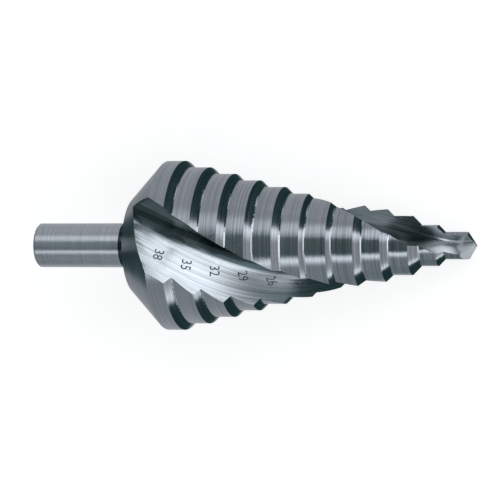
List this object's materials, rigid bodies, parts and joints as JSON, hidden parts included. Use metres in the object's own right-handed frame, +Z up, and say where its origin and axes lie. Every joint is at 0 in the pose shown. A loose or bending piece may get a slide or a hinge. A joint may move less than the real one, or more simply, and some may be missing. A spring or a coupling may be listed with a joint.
{
  "type": "step drill",
  "caption": "Solid steel step drill for sheet metal: a stepped cone with spiral flutes and a split point, on a plain round shank.",
  "frame": {"origin": "on the surface that the drill lies on, under the middle of its length and width", "axes": "+X along the surface towards the tip, +Z up. The drill lies on its stepped head with its point 12.1 degrees down from level, shank end up, and one flute faces up. Its axis lies in the plane Y = 0."},
  "size_m": [0.0998, 0.038, 0.037],
  "materials": {
    "high_speed_steel": "ground bright: fine grinding lines round the lands and along the flutes"
  },
  "bodies": {
    "root": {"step_drill": "high_speed_steel"}
  },
  "joints": []
}
